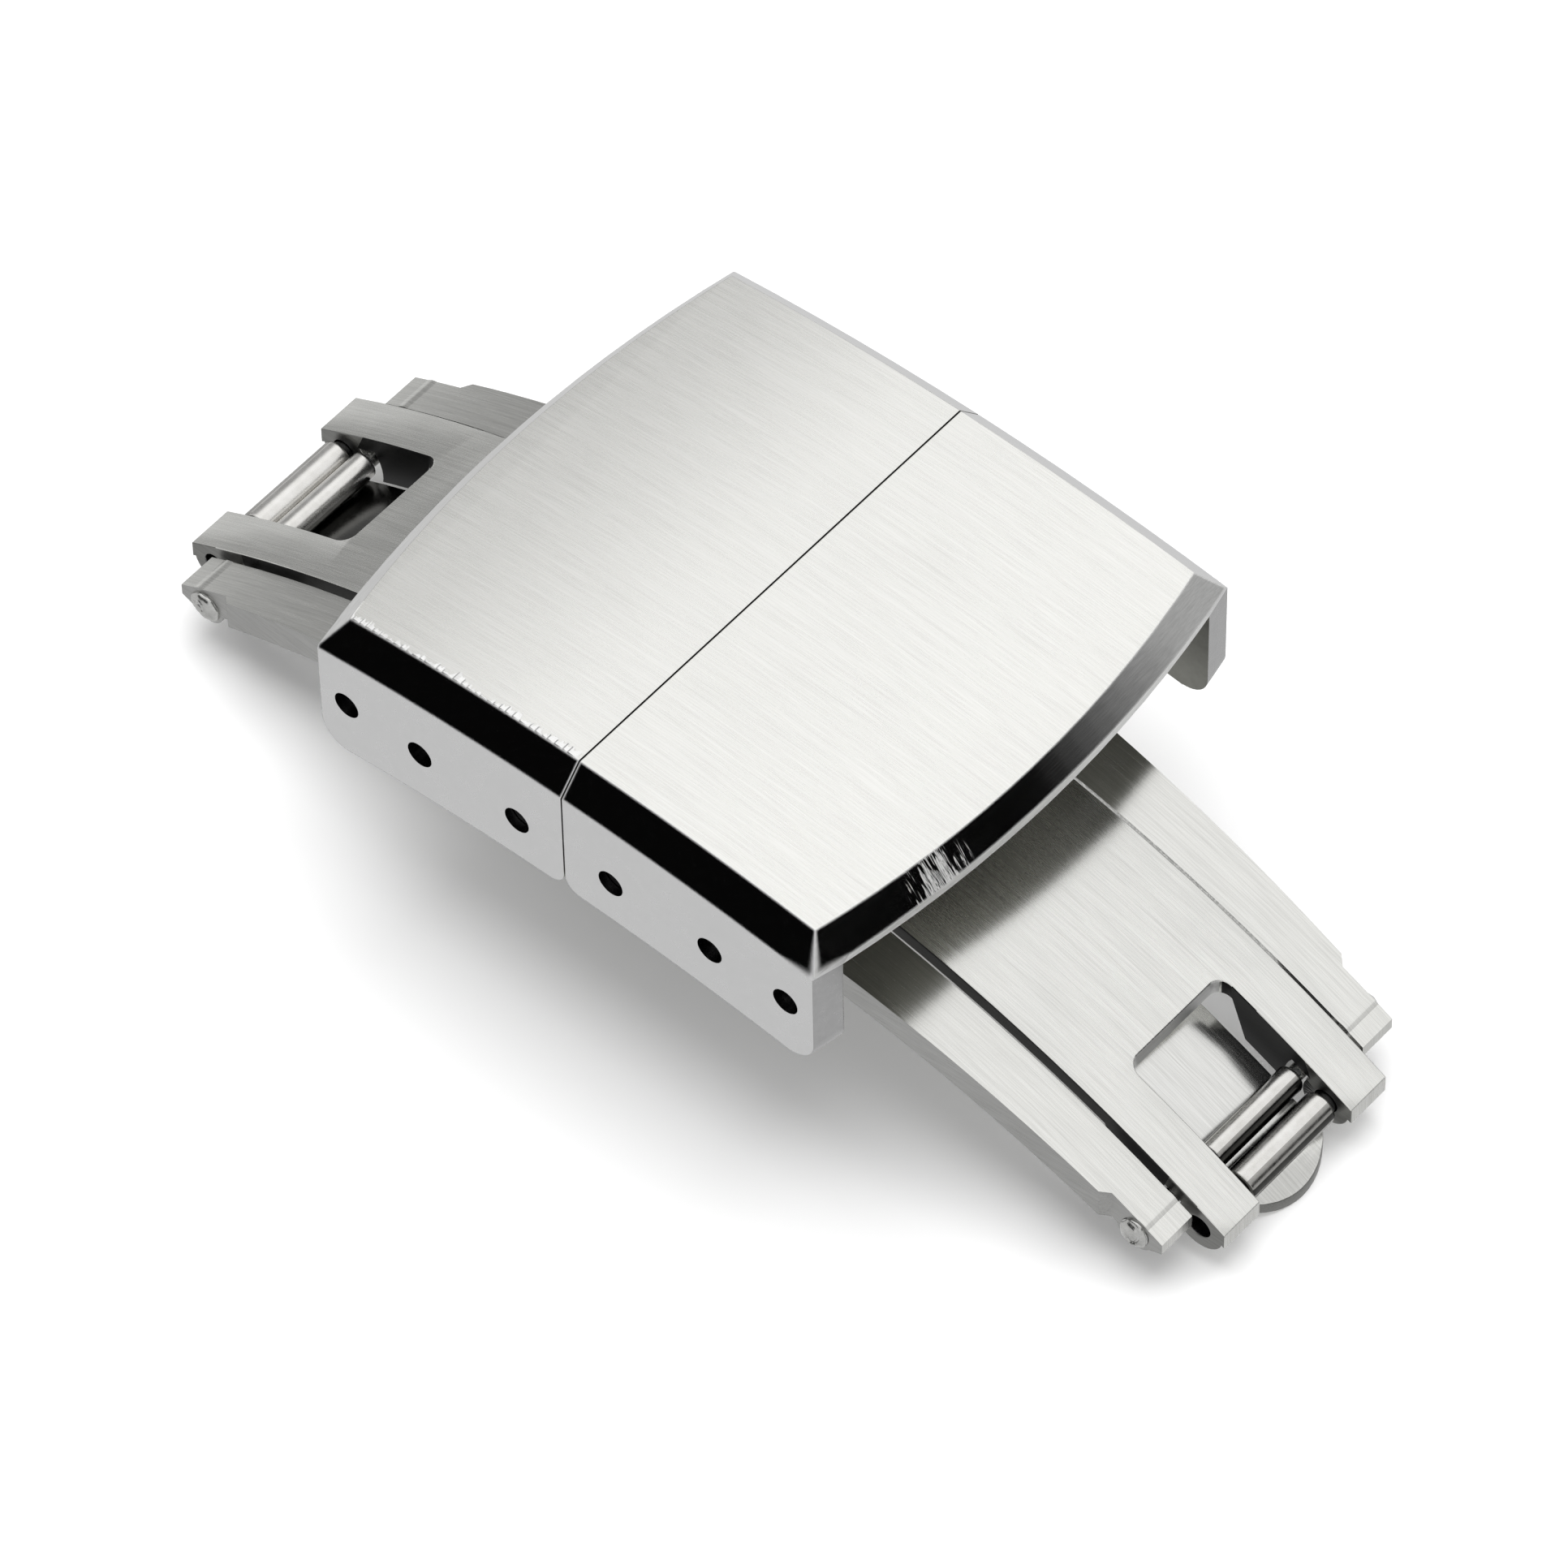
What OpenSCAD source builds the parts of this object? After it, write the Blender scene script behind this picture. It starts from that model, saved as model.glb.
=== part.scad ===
// Double-folding deployant clasp for a watch strap, shown shut.
// X runs along the strap, Y across it, Z up from the wrist. The two ends of the
// spine strip rest on Z = 0, and the seam between the covers is at X = 0.

/* [Covers] */
// Width of the covers across the strap
cover_w = 20.4; // [19.4:0.1:24]
// Length of one cover along its straight edge, from the seam to the outer corner
cover_l = 10.3; // [10:0.1:12]
// How far each outer end bows out in the middle
end_bow = 1.05; // [0.6:0.05:1.6]
// Depth of a cover from its top face to the bottom of its walls
cover_h = 5.55; // [5.4:0.05:5.75]
// Radius of the arch of the top face along the strap
cover_arch_r = 80; // [70:1:140]
// Thickness of the top plate
top_t = 1.15; // [0.9:0.05:1.2]
// Thickness of a side wall
wall_t = 1.2; // [0.9:0.05:1.5]
// Width of the chamfer along the straight edges, seen from above
side_chamfer_w = 0.93; // [0.3:0.05:1.1]
// Depth of the chamfer along the straight edges
side_chamfer_d = 1.05; // [0.4:0.05:1.5]
// Width of the chamfer along the bowed end, seen from above
end_chamfer_w = 0.75; // [0.3:0.05:1]
// Depth of the chamfer along the bowed end
end_chamfer_d = 0.95; // [0.4:0.05:1.1]
// Corner radius of a wall's bottom edge at the seam
seam_corner_r = 0.6; // [0.2:0.05:0.9]
// Corner radius of a wall's bottom edge at the outer end
outer_corner_r = 1; // [0.3:0.05:1.2]
// Gap between the two shut covers
seam_gap = 0.06; // [0.04:0.01:0.2]

/* [Side holes] */
// Diameter of the holes through the side walls
hole_d = 1; // [0.9:0.05:1.1]
// Depth of the holes' axes below the crown of the top face
hole_depth = 3.75; // [3.6:0.05:3.9]
// Distance of the cover's own pivot pin from the seam
pivot_x = 1.96; // [1.9:0.02:2.3]
// Distance of the outer spring bar holes from the cover's outer corner
bar_setback = 1.13; // [1.1:0.01:1.9]
// Distance between the two spring bar positions
bar_pitch = 3.11; // [2.6:0.01:3.7]

/* [Arms] */
// Height of the covers' crown above the crown of the arms
crown_rise = 5.65; // [5.6:0.05:6]
// Radius of the arms' upper face along the strap
arm_r = 45; // [44:0.5:48]
// Thickness of the arms
arm_t = 0.6; // [0.5:0.05:0.62]
// Width of the arms
arm_w = 8.16; // [7.6:0.02:9]
// Distance of the arms' outer ends from the seam
arm_tip_x = 22; // [21.5:0.1:24]
// Distance of the arms' free ends from the seam
arm_start_x = 1.8; // [1.7:0.05:1.9]
// Width of the open window at the outer end of an arm
window_w = 4.6; // [4.4:0.05:5]
// Length of that window, back from the arm's outer end
window_l = 5.45; // [4.2:0.05:6.5]
// Corner radius of the window's closed end
window_corner_r = 0.5; // [0.2:0.05:1]
// Radius of the rounded ears round the hinge pin
arm_ear_r = 0.95; // [0.8:0.01:0.95]
// Depth of the ribs under the arms' prongs
rib_d = 1.3; // [1:0.05:1.4]
// Gap between the ribs and the frame pin
rib_gap = 0.12; // [0.1:0.01:0.2]
// Run of the ribs' slanted starts
rib_slant = 1.6; // [1:0.1:2]
// Width of each lug that carries a cover's pivot pin
lug_w = 1; // [0.7:0.05:1.3]
// Radius of the top of each lug
lug_r = 0.95; // [0.8:0.05:1]

/* [Frame] */
// How far the rails' upper faces lie below the arms' upper face
rail_drop = 0.25; // [0.1:0.05:0.35]
// Thickness of the rails
rail_t = 1.12; // [1:0.02:1.2]
// Side gap between a rail and an arm
rail_gap = 0.22; // [0.2:0.02:0.6]
// Width over both rails under the covers
frame_w = 13.1; // [12.6:0.1:14]
// Width over both rails just before the narrow ears
frame_tip_w = 12.2; // [12:0.05:12.5]
// Width over the narrow ears at the rails' ends
ear_w = 11.6; // [11:0.04:11.8]
// Distance from the seam at which the rails start to taper
taper_x = 8; // [6:0.5:10]
// Distance back from the frame pin to the shoulder where the ears start
shoulder_setback = 1.25; // [1.15:0.05:1.5]
// Length of the slanted shoulder
shoulder_l = 0.3; // [0.1:0.05:0.4]
// Radius of the rounding under the rails' ends
rail_ear_r = 0.74; // [0.6:0.02:0.74]
// How far an ear's flat end face stands out past that rounding
ear_nose = 0.36; // [0.1:0.01:0.4]
// How far below the frame pin's axis that end face reaches
ear_chin = 0.25; // [0.1:0.01:0.35]
// Half length of the plate that joins the rails under the arms
bridge_half_l = 6.5; // [5.5:0.1:8]
// Thickness of the plate that joins the rails
bridge_t = 0.6; // [0.45:0.05:0.65]

/* [Spine strip] */
// Depth of the strip's upper face below the arms' upper face
strip_drop = 1.5; // [1.5:0.01:1.53]
// Thickness of the strip
strip_t = 0.4; // [0.3:0.05:0.5]
// Width of the strip
strip_w = 3.8; // [3.4:0.05:4.1]
// How far the strip's rounded tips reach past the hinge pin
strip_reach = 1; // [0.75:0.05:1.25]
// Radius of the strip's rounded tips, seen from above
strip_tip_r = 2.8; // [2.2:0.1:4]

/* [Pins and barrels] */
// Distance between the frame pin and the hinge pin along the strap
pin_pitch = 1.2; // [1.17:0.01:1.25]
// Diameter of the frame pin
frame_pin_d = 0.6; // [0.5:0.02:0.6]
// Outer diameter of the frame barrel
frame_barrel_d = 1; // [0.9:0.02:1]
// Distance of the hinge pin back from the arm's outer end
hinge_setback = 1.05; // [0.9:0.01:1.08]
// Diameter of the hinge pin
hinge_pin_d = 0.84; // [0.7:0.02:0.86]
// Outer diameter of the hinge barrel
hinge_barrel_d = 1.24; // [1.16:0.02:1.26]
// Length of both barrels
barrel_l = 4.2; // [3.8:0.05:4.3]
// Rounding of the barrels' ends
barrel_round = 0.15; // [0.05:0.01:0.16]
// Radial play of the pins in their holes
pin_play = 0.03; // [0.02:0.005:0.04]
// Gap under the barrels, where they are fixed to the strip
barrel_seat = 0.05; // [0.03:0.01:0.06]
// How deep the hinge pin's ends lie inside the arms
hinge_pin_recess = 0.45; // [0.2:0.05:0.8]
// Diameter of the cover's pivot pin
pivot_pin_d = 0.9; // [0.82:0.02:0.9]
// How deep the pivot pin's ends lie inside the cover walls
pivot_pin_recess = 0.35; // [0.1:0.05:0.6]
// Outer diameter of the spacer sleeves on the pivot pin
spacer_d = 1.7; // [1.3:0.05:1.8]
// End play of the spacer sleeves
spacer_play = 0.06; // [0.04:0.01:0.15]
// Diameter of the frame pin's riveted heads
rivet_head_d = 1.1; // [0.9:0.05:1.2]
// Height of the frame pin's riveted heads
rivet_head_h = 0.26; // [0.15:0.01:0.32]

/* [Catch] */
// Length of the catch block along the strap
catch_l = 2.5; // [2:0.05:2.6]
// Width of the catch block
catch_w = 5.2; // [4.6:0.1:5.8]
// Height of the catch block above the frame's plate
catch_h = 1.1; // [0.9:0.05:1.2]
// Width of the catch spring
catch_spring_w = 4.4; // [4:0.1:4.6]
// Thickness of the catch spring
catch_spring_t = 0.15; // [0.1:0.01:0.18]
// Gap between the catch spring's legs and the frame's plate
catch_leg_gap = 0.3; // [0.2:0.05:0.5]
// Distance of the catch rivets from the middle
catch_rivet_y = 1.2; // [1:0.05:1.3]
// Distance of the spine rivets from the seam
spine_rivet_x = 4.6; // [3.5:0.1:5.2]
// Shank diameter of the rivets through the spine
rivet_d = 0.7; // [0.6:0.05:0.8]
// Head diameter of the rivets through the spine
rivet_cap_d = 1.2; // [1:0.05:1.3]
// Height of those rivet heads
rivet_cap_h = 0.14; // [0.08:0.02:0.2]
// Clearance between fixed pieces that fit together
fit = 0.02; // [0.01:0.005:0.03]

/* [Hidden] */

// Fineness of large and small round faces
big_fn = 360;
small_fn = 64;

// Places along the strap, counted back from the arms' outer ends
hinge_pin_x = arm_tip_x - hinge_setback;
frame_pin_x = hinge_pin_x - pin_pitch;
rail_face_x = frame_pin_x + rail_ear_r + ear_nose;
shoulder_x = frame_pin_x - shoulder_setback;
rail_end_x = shoulder_x + shoulder_l;
strip_tip_x = hinge_pin_x + strip_reach;
window_x = arm_tip_x - window_l;

// Radii about the common centre line of the blades
strip_top_r = arm_r - strip_drop;
strip_bottom_r = strip_top_r - strip_t;
rail_top_r = arm_r - rail_drop;
rail_bottom_r = rail_top_r - rail_t;
bridge_top_r = strip_top_r + bridge_t;
frame_pin_rho = strip_top_r + barrel_seat + frame_barrel_d / 2;
hinge_pin_rho = strip_top_r + barrel_seat + hinge_barrel_d / 2;

// Height of the blades' centre line: the strip's tips then touch Z = 0
blade_z = -sqrt(pow(strip_bottom_r, 2) - pow(strip_tip_x, 2));
function arc_z(rho, x) = blade_z + sqrt(rho * rho - x * x);
frame_pin_z = arc_z(frame_pin_rho, frame_pin_x);
hinge_pin_z = arc_z(hinge_pin_rho, hinge_pin_x);

// Covers
cover_top_z = blade_z + arm_r + crown_rise;
cover_axis_z = cover_top_z - cover_arch_r;
function cover_z(depth, x) = cover_axis_z + sqrt(pow(cover_arch_r - depth, 2) - x * x);
hole_z = cover_top_z - hole_depth;
bar_outer_x = cover_l - bar_setback;
bar_inner_x = bar_outer_x - bar_pitch;
end_r = (pow(cover_w / 2, 2) + pow(end_bow, 2)) / (2 * end_bow);
end_axis_x = cover_l + end_bow - end_r;
end_bottom_z = cover_z(cover_h, cover_l - outer_corner_r);
end_chamfer_z = cover_z(0, cover_l) - end_chamfer_d;

// Inner face of a rail, and how far the bridge plate reaches into it
rail_inner_y = arm_w / 2 + rail_gap;
rail_bite = 0.4;
catch_top_z = blade_z + bridge_top_r + catch_h;
overcut = 1;

module along_y(r, l, fn = small_fn) {
    rotate([90, 0, 0]) cylinder(r = r, h = l, center = true, $fn = fn);
}

// A length of cylinder wall about the blades' centre line, across the whole clasp
module blade_shell(r_in, r_out, w) {
    translate([0, 0, blade_z]) difference() {
        along_y(r_out, w, big_fn);
        along_y(r_in, w + overcut, big_fn);
    }
}

// Places children in both halves of the width
module both_sides() {
    children();
    mirror([0, 1, 0]) children();
}

module left_half() {
    mirror([1, 0, 0]) children();
}

// A barrel with rounded ends, bored for a pin
module barrel(d, bore_r, l) {
    difference() {
        rotate([90, 0, 0]) rotate_extrude($fn = small_fn) barrel_profile(d / 2, l / 2);
        along_y(bore_r, l + overcut);
    }
}

module barrel_profile(r, half) {
    translate([0, -half]) square([r - barrel_round, 2 * half]);
    translate([0, barrel_round - half]) square([r, 2 * (half - barrel_round)]);
    for (s = [-1, 1]) {
        translate([r - barrel_round, s * (half - barrel_round)]) circle(barrel_round, $fn = small_fn);
    }
}

// One rail's outline seen from above, a little longer than the rail
module rail_plan() {
    far_x = rail_face_x + overcut / 2;
    polygon([[-far_x, rail_inner_y], [far_x, rail_inner_y], [far_x, ear_w / 2], [rail_end_x, ear_w / 2],
             [shoulder_x, frame_tip_w / 2], [taper_x, frame_w / 2], [-taper_x, frame_w / 2],
             [-shoulder_x, frame_tip_w / 2], [-rail_end_x, ear_w / 2], [-far_x, ear_w / 2]]);
}

// What the rails' end faces leave off, drawn from the side and drawn out across Y
module rail_end_cut() {
    low_z = frame_pin_z - ear_chin;
    deep = rail_ear_r * 2 / 3;
    run = rail_face_x - frame_pin_x - deep;
    translate([0, frame_w / 2, 0]) rotate([90, 0, 0]) linear_extrude(height = frame_w)
        polygon([[rail_face_x, cover_top_z], [rail_face_x, low_z],
                 [rail_face_x - 3 * run, low_z - 3 * (deep - ear_chin)], [rail_face_x - 3 * run, -overcut],
                 [rail_face_x + 2 * overcut, -overcut], [rail_face_x + 2 * overcut, cover_top_z]]);
}

// The rounding under a rail's end, about the frame pin
module rail_ear() {
    ear_l = ear_w / 2 - rail_inner_y;
    translate([frame_pin_x, (ear_w / 2 + rail_inner_y) / 2, frame_pin_z]) along_y(rail_ear_r, ear_l);
}

// A rivet through the bridge plate and the strip, set square to them
module rivet(head_rho, tilt, y) {
    foot_rho = strip_bottom_r - fit;
    translate([0, y, blade_z]) rotate([0, tilt, 0]) {
        translate([0, 0, foot_rho]) cylinder(d = rivet_d, h = head_rho - foot_rho, $fn = small_fn);
        translate([0, 0, head_rho]) cylinder(d = rivet_cap_d, h = rivet_cap_h, $fn = small_fn);
        translate([0, 0, foot_rho - rivet_cap_h]) cylinder(d = rivet_cap_d, h = rivet_cap_h, $fn = small_fn);
    }
}

module rivet_hole(tilt, y) {
    translate([0, y, blade_z]) rotate([0, tilt, 0])
        translate([0, 0, strip_bottom_r - overcut])
            cylinder(d = rivet_d + 2 * fit, h = catch_h + 3 * overcut + bridge_t, $fn = small_fn);
}

function spine_tilt(s) = s * asin(spine_rivet_x / strip_top_r);

module all_rivet_holes() {
    for (s = [-1, 1]) {
        rivet_hole(spine_tilt(s), 0);
        rivet_hole(0, s * catch_rivet_y);
    }
}

module base_frame() {
    color([0.80, 0.80, 0.77]) difference() {
        union() {
            difference() {
                intersection() {
                    blade_shell(rail_bottom_r, rail_top_r, frame_w);
                    both_sides() linear_extrude(height = cover_top_z) rail_plan();
                }
                rail_end_cut();
                left_half() rail_end_cut();
            }
            intersection() {
                blade_shell(strip_top_r, bridge_top_r, 2 * (rail_inner_y + rail_bite));
                translate([-bridge_half_l, -frame_w / 2, 0]) cube([2 * bridge_half_l, frame_w, cover_top_z]);
            }
            both_sides() {
                rail_ear();
                left_half() rail_ear();
            }
        }
        for (s = [-1, 1]) {
            translate([s * frame_pin_x, 0, frame_pin_z]) along_y(frame_pin_d / 2 + pin_play, ear_w + overcut);
        }
        all_rivet_holes();
    }
}

module spine_strip() {
    tip_axis_x = strip_tip_x - strip_tip_r;
    color([0.74, 0.74, 0.73]) difference() {
        intersection() {
            blade_shell(strip_bottom_r, strip_top_r, strip_w);
            union() {
                translate([-tip_axis_x, -strip_w / 2, -overcut])
                    cube([2 * tip_axis_x, strip_w, cover_top_z]);
                for (s = [-1, 1]) {
                    translate([s * tip_axis_x, 0, -overcut])
                        cylinder(r = strip_tip_r, h = cover_top_z, $fn = big_fn);
                }
            }
        }
        all_rivet_holes();
    }
}

module spine_rivets() {
    color([0.66, 0.66, 0.65]) for (s = [-1, 1]) {
        rivet(bridge_top_r + fit, spine_tilt(s), 0);
    }
}

module catch_block() {
    color([0.62, 0.62, 0.62]) difference() {
        translate([-catch_l / 2, -catch_w / 2, blade_z + bridge_top_r - overcut])
            cube([catch_l, catch_w, catch_h + overcut]);
        translate([0, 0, blade_z]) along_y(bridge_top_r, catch_w + overcut, big_fn);
        all_rivet_holes();
    }
}

module catch_spring() {
    inner_l = catch_l + 2 * fit;
    outer_l = inner_l + 2 * catch_spring_t;
    leg_z = blade_z + bridge_top_r + catch_leg_gap;
    color([0.70, 0.70, 0.68]) difference() {
        translate([-outer_l / 2, -catch_spring_w / 2, leg_z])
            cube([outer_l, catch_spring_w, catch_top_z + fit + catch_spring_t - leg_z]);
        translate([-inner_l / 2, -catch_spring_w / 2 - overcut, leg_z - overcut])
            cube([inner_l, catch_spring_w + 2 * overcut, catch_top_z + fit - leg_z + overcut]);
        all_rivet_holes();
    }
}

module catch_rivets() {
    head_rho = catch_top_z + 2 * fit + catch_spring_t - blade_z;
    color([0.66, 0.66, 0.65]) for (s = [-1, 1]) {
        rivet(head_rho, 0, s * catch_rivet_y);
    }
}

// The pin that holds the rails and the strip together, peened over at both ends
module frame_pin() {
    dome_r = (pow(rivet_head_d / 2, 2) + pow(rivet_head_h, 2)) / (2 * rivet_head_h);
    head_y = ear_w / 2 + fit;
    color([0.78, 0.78, 0.75]) translate([frame_pin_x, 0, frame_pin_z]) {
        along_y(frame_pin_d / 2, ear_w + 2 * fit);
        both_sides() intersection() {
            translate([0, head_y + rivet_head_h - dome_r, 0]) sphere(r = dome_r, $fn = small_fn);
            translate([0, head_y + rivet_head_h, 0]) along_y(rivet_head_d, 2 * rivet_head_h);
        }
    }
}
module frame_pin_right() { frame_pin(); }
module frame_pin_left() { left_half() frame_pin(); }

module frame_barrel() {
    color([0.85, 0.85, 0.82]) translate([frame_pin_x, 0, frame_pin_z])
        barrel(frame_barrel_d, frame_pin_d / 2 + pin_play, barrel_l);
}
module frame_barrel_right() { frame_barrel(); }
module frame_barrel_left() { left_half() frame_barrel(); }

module hinge_barrel() {
    color([0.85, 0.85, 0.82]) translate([hinge_pin_x, 0, hinge_pin_z])
        barrel(hinge_barrel_d, hinge_pin_d / 2 + pin_play, barrel_l);
}
module hinge_barrel_right() { hinge_barrel(); }
module hinge_barrel_left() { left_half() hinge_barrel(); }

// The lug at an arm's free end, leaning back so that it clears the turning cover
module arm_lug() {
    foot_z = blade_z + arm_r - arm_t / 2;
    foot_l = 2 * lug_r;
    translate([0, arm_w / 2, 0]) rotate([90, 0, 0]) linear_extrude(height = lug_w)
        polygon([[pivot_x - lug_r, hole_z], [pivot_x + lug_r, hole_z],
                 [arm_start_x + foot_l, foot_z], [arm_start_x, foot_z]]);
    translate([pivot_x, (arm_w - lug_w) / 2, hole_z]) along_y(lug_r, lug_w);
}

// The rib under both prongs, cut back in a round to clear the frame pin
module prong_rib() {
    start_x = window_x + window_corner_r / 2;
    start_z = arc_z(arm_r, start_x);
    pin_reach = norm([pin_pitch, hinge_pin_z - frame_pin_z]) + frame_pin_d / 2;
    difference() {
        intersection() {
            blade_shell(arm_r - arm_t - rib_d, arm_r - arm_t / 2, arm_w);
            translate([0, arm_w / 2, 0]) rotate([90, 0, 0]) linear_extrude(height = arm_w)
                polygon([[start_x, start_z], [hinge_pin_x, start_z], [hinge_pin_x, 0], [start_x + rib_slant, 0]]);
        }
        translate([hinge_pin_x, 0, hinge_pin_z]) along_y(pin_reach + rib_gap, arm_w + overcut);
    }
}

// The open window between an arm's two prongs
module arm_window() {
    r = window_corner_r;
    translate([0, 0, -overcut]) linear_extrude(height = cover_top_z) {
        translate([window_x + r, -window_w / 2]) square([arm_tip_x - window_x, window_w]);
        translate([window_x, r - window_w / 2]) square([arm_tip_x - window_x, window_w - 2 * r]);
        for (s = [-1, 1]) {
            translate([window_x + r, s * (window_w / 2 - r)]) circle(r, $fn = small_fn);
        }
    }
}

module arm() {
    color([0.82, 0.82, 0.79]) difference() {
        union() {
            intersection() {
                blade_shell(arm_r - arm_t, arm_r, arm_w);
                translate([arm_start_x, -arm_w / 2, 0]) cube([arm_tip_x - arm_start_x, arm_w, cover_top_z]);
            }
            intersection() {
                translate([hinge_pin_x, 0, hinge_pin_z]) along_y(arm_ear_r, arm_w);
                translate([0, 0, blade_z]) along_y(arm_r, arm_w, big_fn);
            }
            prong_rib();
            both_sides() arm_lug();
        }
        arm_window();
        translate([hinge_pin_x, 0, hinge_pin_z]) along_y(hinge_pin_d / 2 + pin_play, arm_w + overcut);
        translate([pivot_x, 0, hole_z]) along_y(hole_d / 2, arm_w + overcut);
    }
}
module arm_right() { arm(); }
module arm_left() { left_half() arm(); }

module arm_pin() {
    color([0.60, 0.60, 0.60]) translate([hinge_pin_x, 0, hinge_pin_z])
        along_y(hinge_pin_d / 2, arm_w - 2 * hinge_pin_recess);
}
module arm_pin_right() { arm_pin(); }
module arm_pin_left() { left_half() arm_pin(); }

// Cross-section of a cover: the first number is the distance from the arch's axis
module cover_section() {
    half = cover_w / 2;
    inner = half - wall_t;
    r_top = cover_arch_r;
    r_in = cover_arch_r - top_t;
    r_low = cover_arch_r - cover_h;
    r_cut = cover_arch_r - side_chamfer_d;
    polygon([[r_top, side_chamfer_w - half], [r_top, half - side_chamfer_w], [r_cut, half], [r_low, half],
             [r_low, inner], [r_in, inner], [r_in, -inner], [r_low, -inner], [r_low, -half], [r_cut, -half]]);
}

// What the bowed end leaves standing: upright, chamfered above and rounded below
module end_section() {
    r = outer_corner_r;
    rise = 2 * overcut;
    run = rise * end_chamfer_w / end_chamfer_d;
    polygon([[0, end_bottom_z - overcut], [end_r - r, end_bottom_z - overcut], [end_r - r, end_bottom_z],
             [end_r, end_bottom_z + r], [end_r, end_chamfer_z], [end_r - run, end_chamfer_z + rise],
             [0, end_chamfer_z + rise]]);
    translate([end_r - r, end_bottom_z + r]) circle(r, $fn = small_fn);
}

// Material outside the rounded bottom corner of the walls at the seam
module seam_corner_cut() {
    r = seam_corner_r;
    low_z = cover_top_z - cover_h;
    difference() {
        translate([0, -cover_w / 2 - overcut, low_z - overcut])
            cube([seam_gap / 2 + r, cover_w + 2 * overcut, r + overcut]);
        translate([seam_gap / 2 + r, 0, low_z + r]) along_y(r, cover_w + 4 * overcut);
    }
}

module cover() {
    color([0.88, 0.88, 0.86]) difference() {
        intersection() {
            translate([0, 0, cover_axis_z]) rotate([90, 0, 0])
                rotate_extrude($fn = big_fn) cover_section();
            translate([end_axis_x, 0, 0]) rotate_extrude($fn = big_fn) end_section();
            translate([seam_gap / 2, -cover_w, 0]) cube([2 * cover_l, 2 * cover_w, 2 * cover_top_z]);
        }
        seam_corner_cut();
        for (x = [pivot_x, bar_inner_x, bar_outer_x]) {
            translate([x, 0, hole_z]) along_y(hole_d / 2, cover_w + overcut);
        }
    }
}
module cover_right() { cover(); }
module cover_left() { left_half() cover(); }

module cover_pin() {
    color([0.55, 0.55, 0.55]) translate([pivot_x, 0, hole_z])
        along_y(pivot_pin_d / 2, cover_w - 2 * pivot_pin_recess);
}
module cover_pin_right() { cover_pin(); }
module cover_pin_left() { left_half() cover_pin(); }

// Sleeves that keep the arm's lugs in the middle of the cover
module cover_spacers() {
    room = cover_w / 2 - wall_t - arm_w / 2;
    sleeve_l = room - 2 * spacer_play;
    mid_y = arm_w / 2 + room / 2;
    color([0.72, 0.72, 0.70]) both_sides() translate([pivot_x, mid_y, hole_z]) difference() {
        along_y(spacer_d / 2, sleeve_l);
        along_y(hole_d / 2, sleeve_l + overcut);
    }
}
module cover_spacers_right() { cover_spacers(); }
module cover_spacers_left() { left_half() cover_spacers(); }

base_frame();
spine_strip();
spine_rivets();
catch_block();
catch_spring();
catch_rivets();
frame_pin_left();
frame_pin_right();
frame_barrel_left();
frame_barrel_right();
hinge_barrel_left();
hinge_barrel_right();
arm_left();
arm_right();
arm_pin_left();
arm_pin_right();
cover_left();
cover_right();
cover_pin_left();
cover_pin_right();
cover_spacers_left();
cover_spacers_right();
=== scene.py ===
"""Deployant clasp: the finish of every surface, small worn details, the studio and the camera.

The solids come from the part's own frame and aren't moved or changed. Places and sizes in the tables
are in millimetres in that frame: X runs along the strap, Y across it and Z up from the wrist.
Blender counts in metres, so they are multiplied by MM where they are used.
"""
import math

import bmesh
import bpy
import numpy as np
from mathutils import Matrix, Vector


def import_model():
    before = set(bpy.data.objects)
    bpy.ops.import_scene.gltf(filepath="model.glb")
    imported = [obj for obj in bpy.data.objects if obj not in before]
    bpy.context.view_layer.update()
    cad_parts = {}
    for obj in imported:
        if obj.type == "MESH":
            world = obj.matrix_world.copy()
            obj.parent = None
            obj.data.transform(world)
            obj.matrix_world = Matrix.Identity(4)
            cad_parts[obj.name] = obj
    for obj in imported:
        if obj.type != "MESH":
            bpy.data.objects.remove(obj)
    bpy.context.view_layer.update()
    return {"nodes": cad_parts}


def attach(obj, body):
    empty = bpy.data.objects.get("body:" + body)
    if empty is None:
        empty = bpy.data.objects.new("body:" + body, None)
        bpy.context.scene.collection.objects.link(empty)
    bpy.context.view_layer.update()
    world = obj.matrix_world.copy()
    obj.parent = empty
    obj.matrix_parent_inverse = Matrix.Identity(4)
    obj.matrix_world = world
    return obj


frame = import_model()
nodes = frame["nodes"]
MM = 0.001
SIDES = ("left", "right")

# Camera: azimuth, elevation and roll in degrees, then the distance, fitted to the photographed corners
CAMERA_ANGLES = (41.42, 52.07, -1.22)
CAMERA_DISTANCE = 350.0
CAMERA_SHIFT = (0.37, -6.34)
CROWN_Z = 13.558
PHOTO_SIDE = 1932
PHOTO_PX_PER_MM = 38.95
SENSOR = 36

# Places on the part. X and Y are the same on both sides, so they are given for the right and the far side
# The covers: the holes in the walls, then the lowest point and the flattest normal of the top face
WALL_HOLES_X = (1.96, 6.06, 9.17)
WALL_HOLES_Z = 9.808
WALL_HOLE_R = 0.5
TOP_Z, TOP_NORMAL = 12.2, 0.97
# The end face starts past this X; the lip under the top lies in it, between the walls
COVER_END_X = 10
WALL_OUTER_Y, WALL_INNER_Y = 10.1, 8.9
LIP_Z, WALL_END_Z = 11.0, 11.2
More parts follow.
